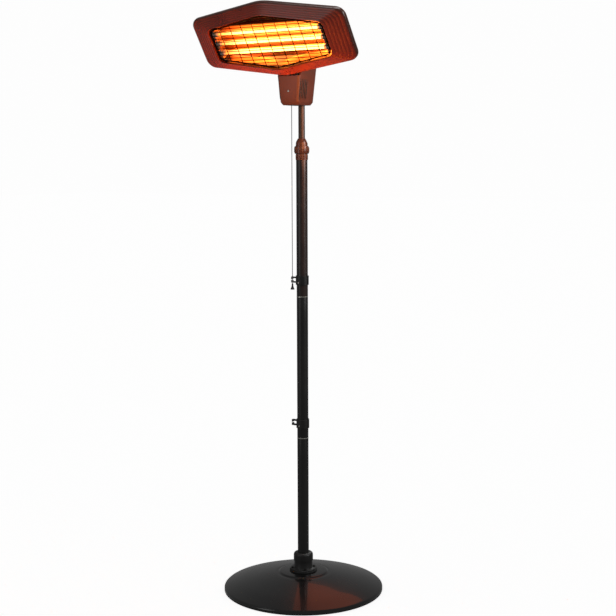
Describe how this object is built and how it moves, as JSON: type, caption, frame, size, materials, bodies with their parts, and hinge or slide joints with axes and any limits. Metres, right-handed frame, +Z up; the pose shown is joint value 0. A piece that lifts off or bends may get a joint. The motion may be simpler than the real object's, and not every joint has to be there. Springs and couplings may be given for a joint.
{
  "type": "outdoor heater",
  "caption": "Free-standing outdoor quartz heater: round weighted base, sectional pole, telescopic mast with twist lock, pull-cord switch and a tilting hexagonal head with a wire grille.",
  "frame": {"origin": "centre of the base's underside on the floor, under the pole axis", "axes": "+Z up along the pole, -Y the way the head faces, +X to the object's left as it faces -Y"},
  "size_m": [0.501, 0.46, 1.6613],
  "materials": {
    "black_enamel": "satin black powder coat",
    "base_enamel": "glossy black stoved enamel over pressed steel",
    "head_enamel": "black heat-resistant enamel",
    "black_nylon": "moulded glass-filled nylon",
    "switch_plastic": "moulded phenolic",
    "rubber_black": "matt moulded rubber",
    "iron_weight": "rough sand-cast iron",
    "zinc_steel": "bright zinc plating",
    "spring_steel": "drawn spring wire",
    "grille_steel": "heat-blackened steel wire",
    "reflector_aluminium": "bright anodised aluminium",
    "quartz": "clear fused quartz",
    "glowing_coil": "resistance wire at working heat",
    "steatite": "white steatite",
    "grey_cord": "braided nylon cord"
  },
  "bodies": {
    "stand": {"base_cover": "base_enamel", "base_edge_trim": "rubber_black", "base_weight": "iron_weight", "base_feet": "rubber_black", "socket_gasket": "rubber_black", "pole_socket": "black_nylon", "socket_collar": "black_nylon", "socket_screws": "zinc_steel", "pole_lower": "black_enamel", "pole_middle": "black_enamel", "pole_upper": "black_enamel", "joint_coupler_lower": "zinc_steel", "joint_coupler_upper": "zinc_steel", "pole_foot_plug": "black_nylon", "centre_bolt": "zinc_steel", "centre_washer": "zinc_steel", "cable_clip_lower": "black_nylon", "cable_clip_upper": "black_nylon", "clip_screws": "zinc_steel", "mast_bush": "black_nylon", "collet": "black_nylon"},
    "lock": {"lock_collar": "black_nylon"},
    "mast": {"mast_tube": "black_enamel", "mast_guide": "black_nylon", "neck_front_shell": "black_nylon", "neck_rear_shell": "black_nylon", "mast_mount": "black_nylon", "hinge_yoke": "zinc_steel", "pivot_bolt": "zinc_steel", "friction_washers": "zinc_steel", "neck_screws": "zinc_steel", "mains_gland": "black_nylon", "switch_case": "switch_plastic", "switch_axle": "zinc_steel", "switch_spring": "spring_steel"},
    "knob": {"tilt_knob": "black_nylon"},
    "rotor": {"switch_rotor": "switch_plastic"},
    "pull": {"switch_plunger": "switch_plastic", "pull_cord": "grey_cord", "cord_knot": "grey_cord", "cord_bell": "black_nylon"},
    "head": {"front_bezel": "head_enamel", "rear_housing": "head_enamel", "hinge_lug": "head_enamel", "grille_frame": "grille_steel", "grille_bars": "grille_steel", "grille_rods": "grille_steel", "quartz_tube_1": "quartz", "quartz_tube_2": "quartz", "quartz_tube_3": "quartz", "heating_coil_1": "glowing_coil", "heating_coil_2": "glowing_coil", "heating_coil_3": "glowing_coil", "ceramic_ends": "steatite", "tube_brackets": "zinc_steel", "reflector": "reflector_aluminium", "heat_shield": "reflector_aluminium", "terminal_block": "steatite", "tip_over_switch": "black_nylon", "housing_screws": "zinc_steel"}
  },
  "joints": [
    {"name": "mast_height", "type": "slide", "parent": "stand", "child": "mast", "axis": [0, 0, 1], "range_m": [-0.08, 0.2]},
    {"name": "lock_twist", "type": "hinge", "parent": "stand", "child": "lock", "pos_m": [0, 0, 1.28], "axis": [0, 0, 1], "range_deg": [0, 90]},
    {"name": "head_tilt", "type": "hinge", "parent": "mast", "child": "head", "pos_m": [0, -0.03, 1.499], "axis": [1, 0, 0], "range_deg": [-33.4, 8]},
    {"name": "tilt_knob_turn", "type": "hinge", "parent": "mast", "child": "knob", "pos_m": [0, -0.03, 1.499], "axis": [1, 0, 0], "continuous": true},
    {"name": "cord_pull", "type": "slide", "parent": "mast", "child": "pull", "axis": [0, 0, -1], "range_m": [0, 0.008], "stiffness_N_per_m": 700, "springref_m": -0.002, "deforming": ["switch_spring"]},
    {"name": "switch_rotor_turn", "type": "hinge", "parent": "mast", "child": "rotor", "pos_m": [0.007, -0.047, 1.423], "axis": [1, 0, 0], "continuous": true}
  ]
}
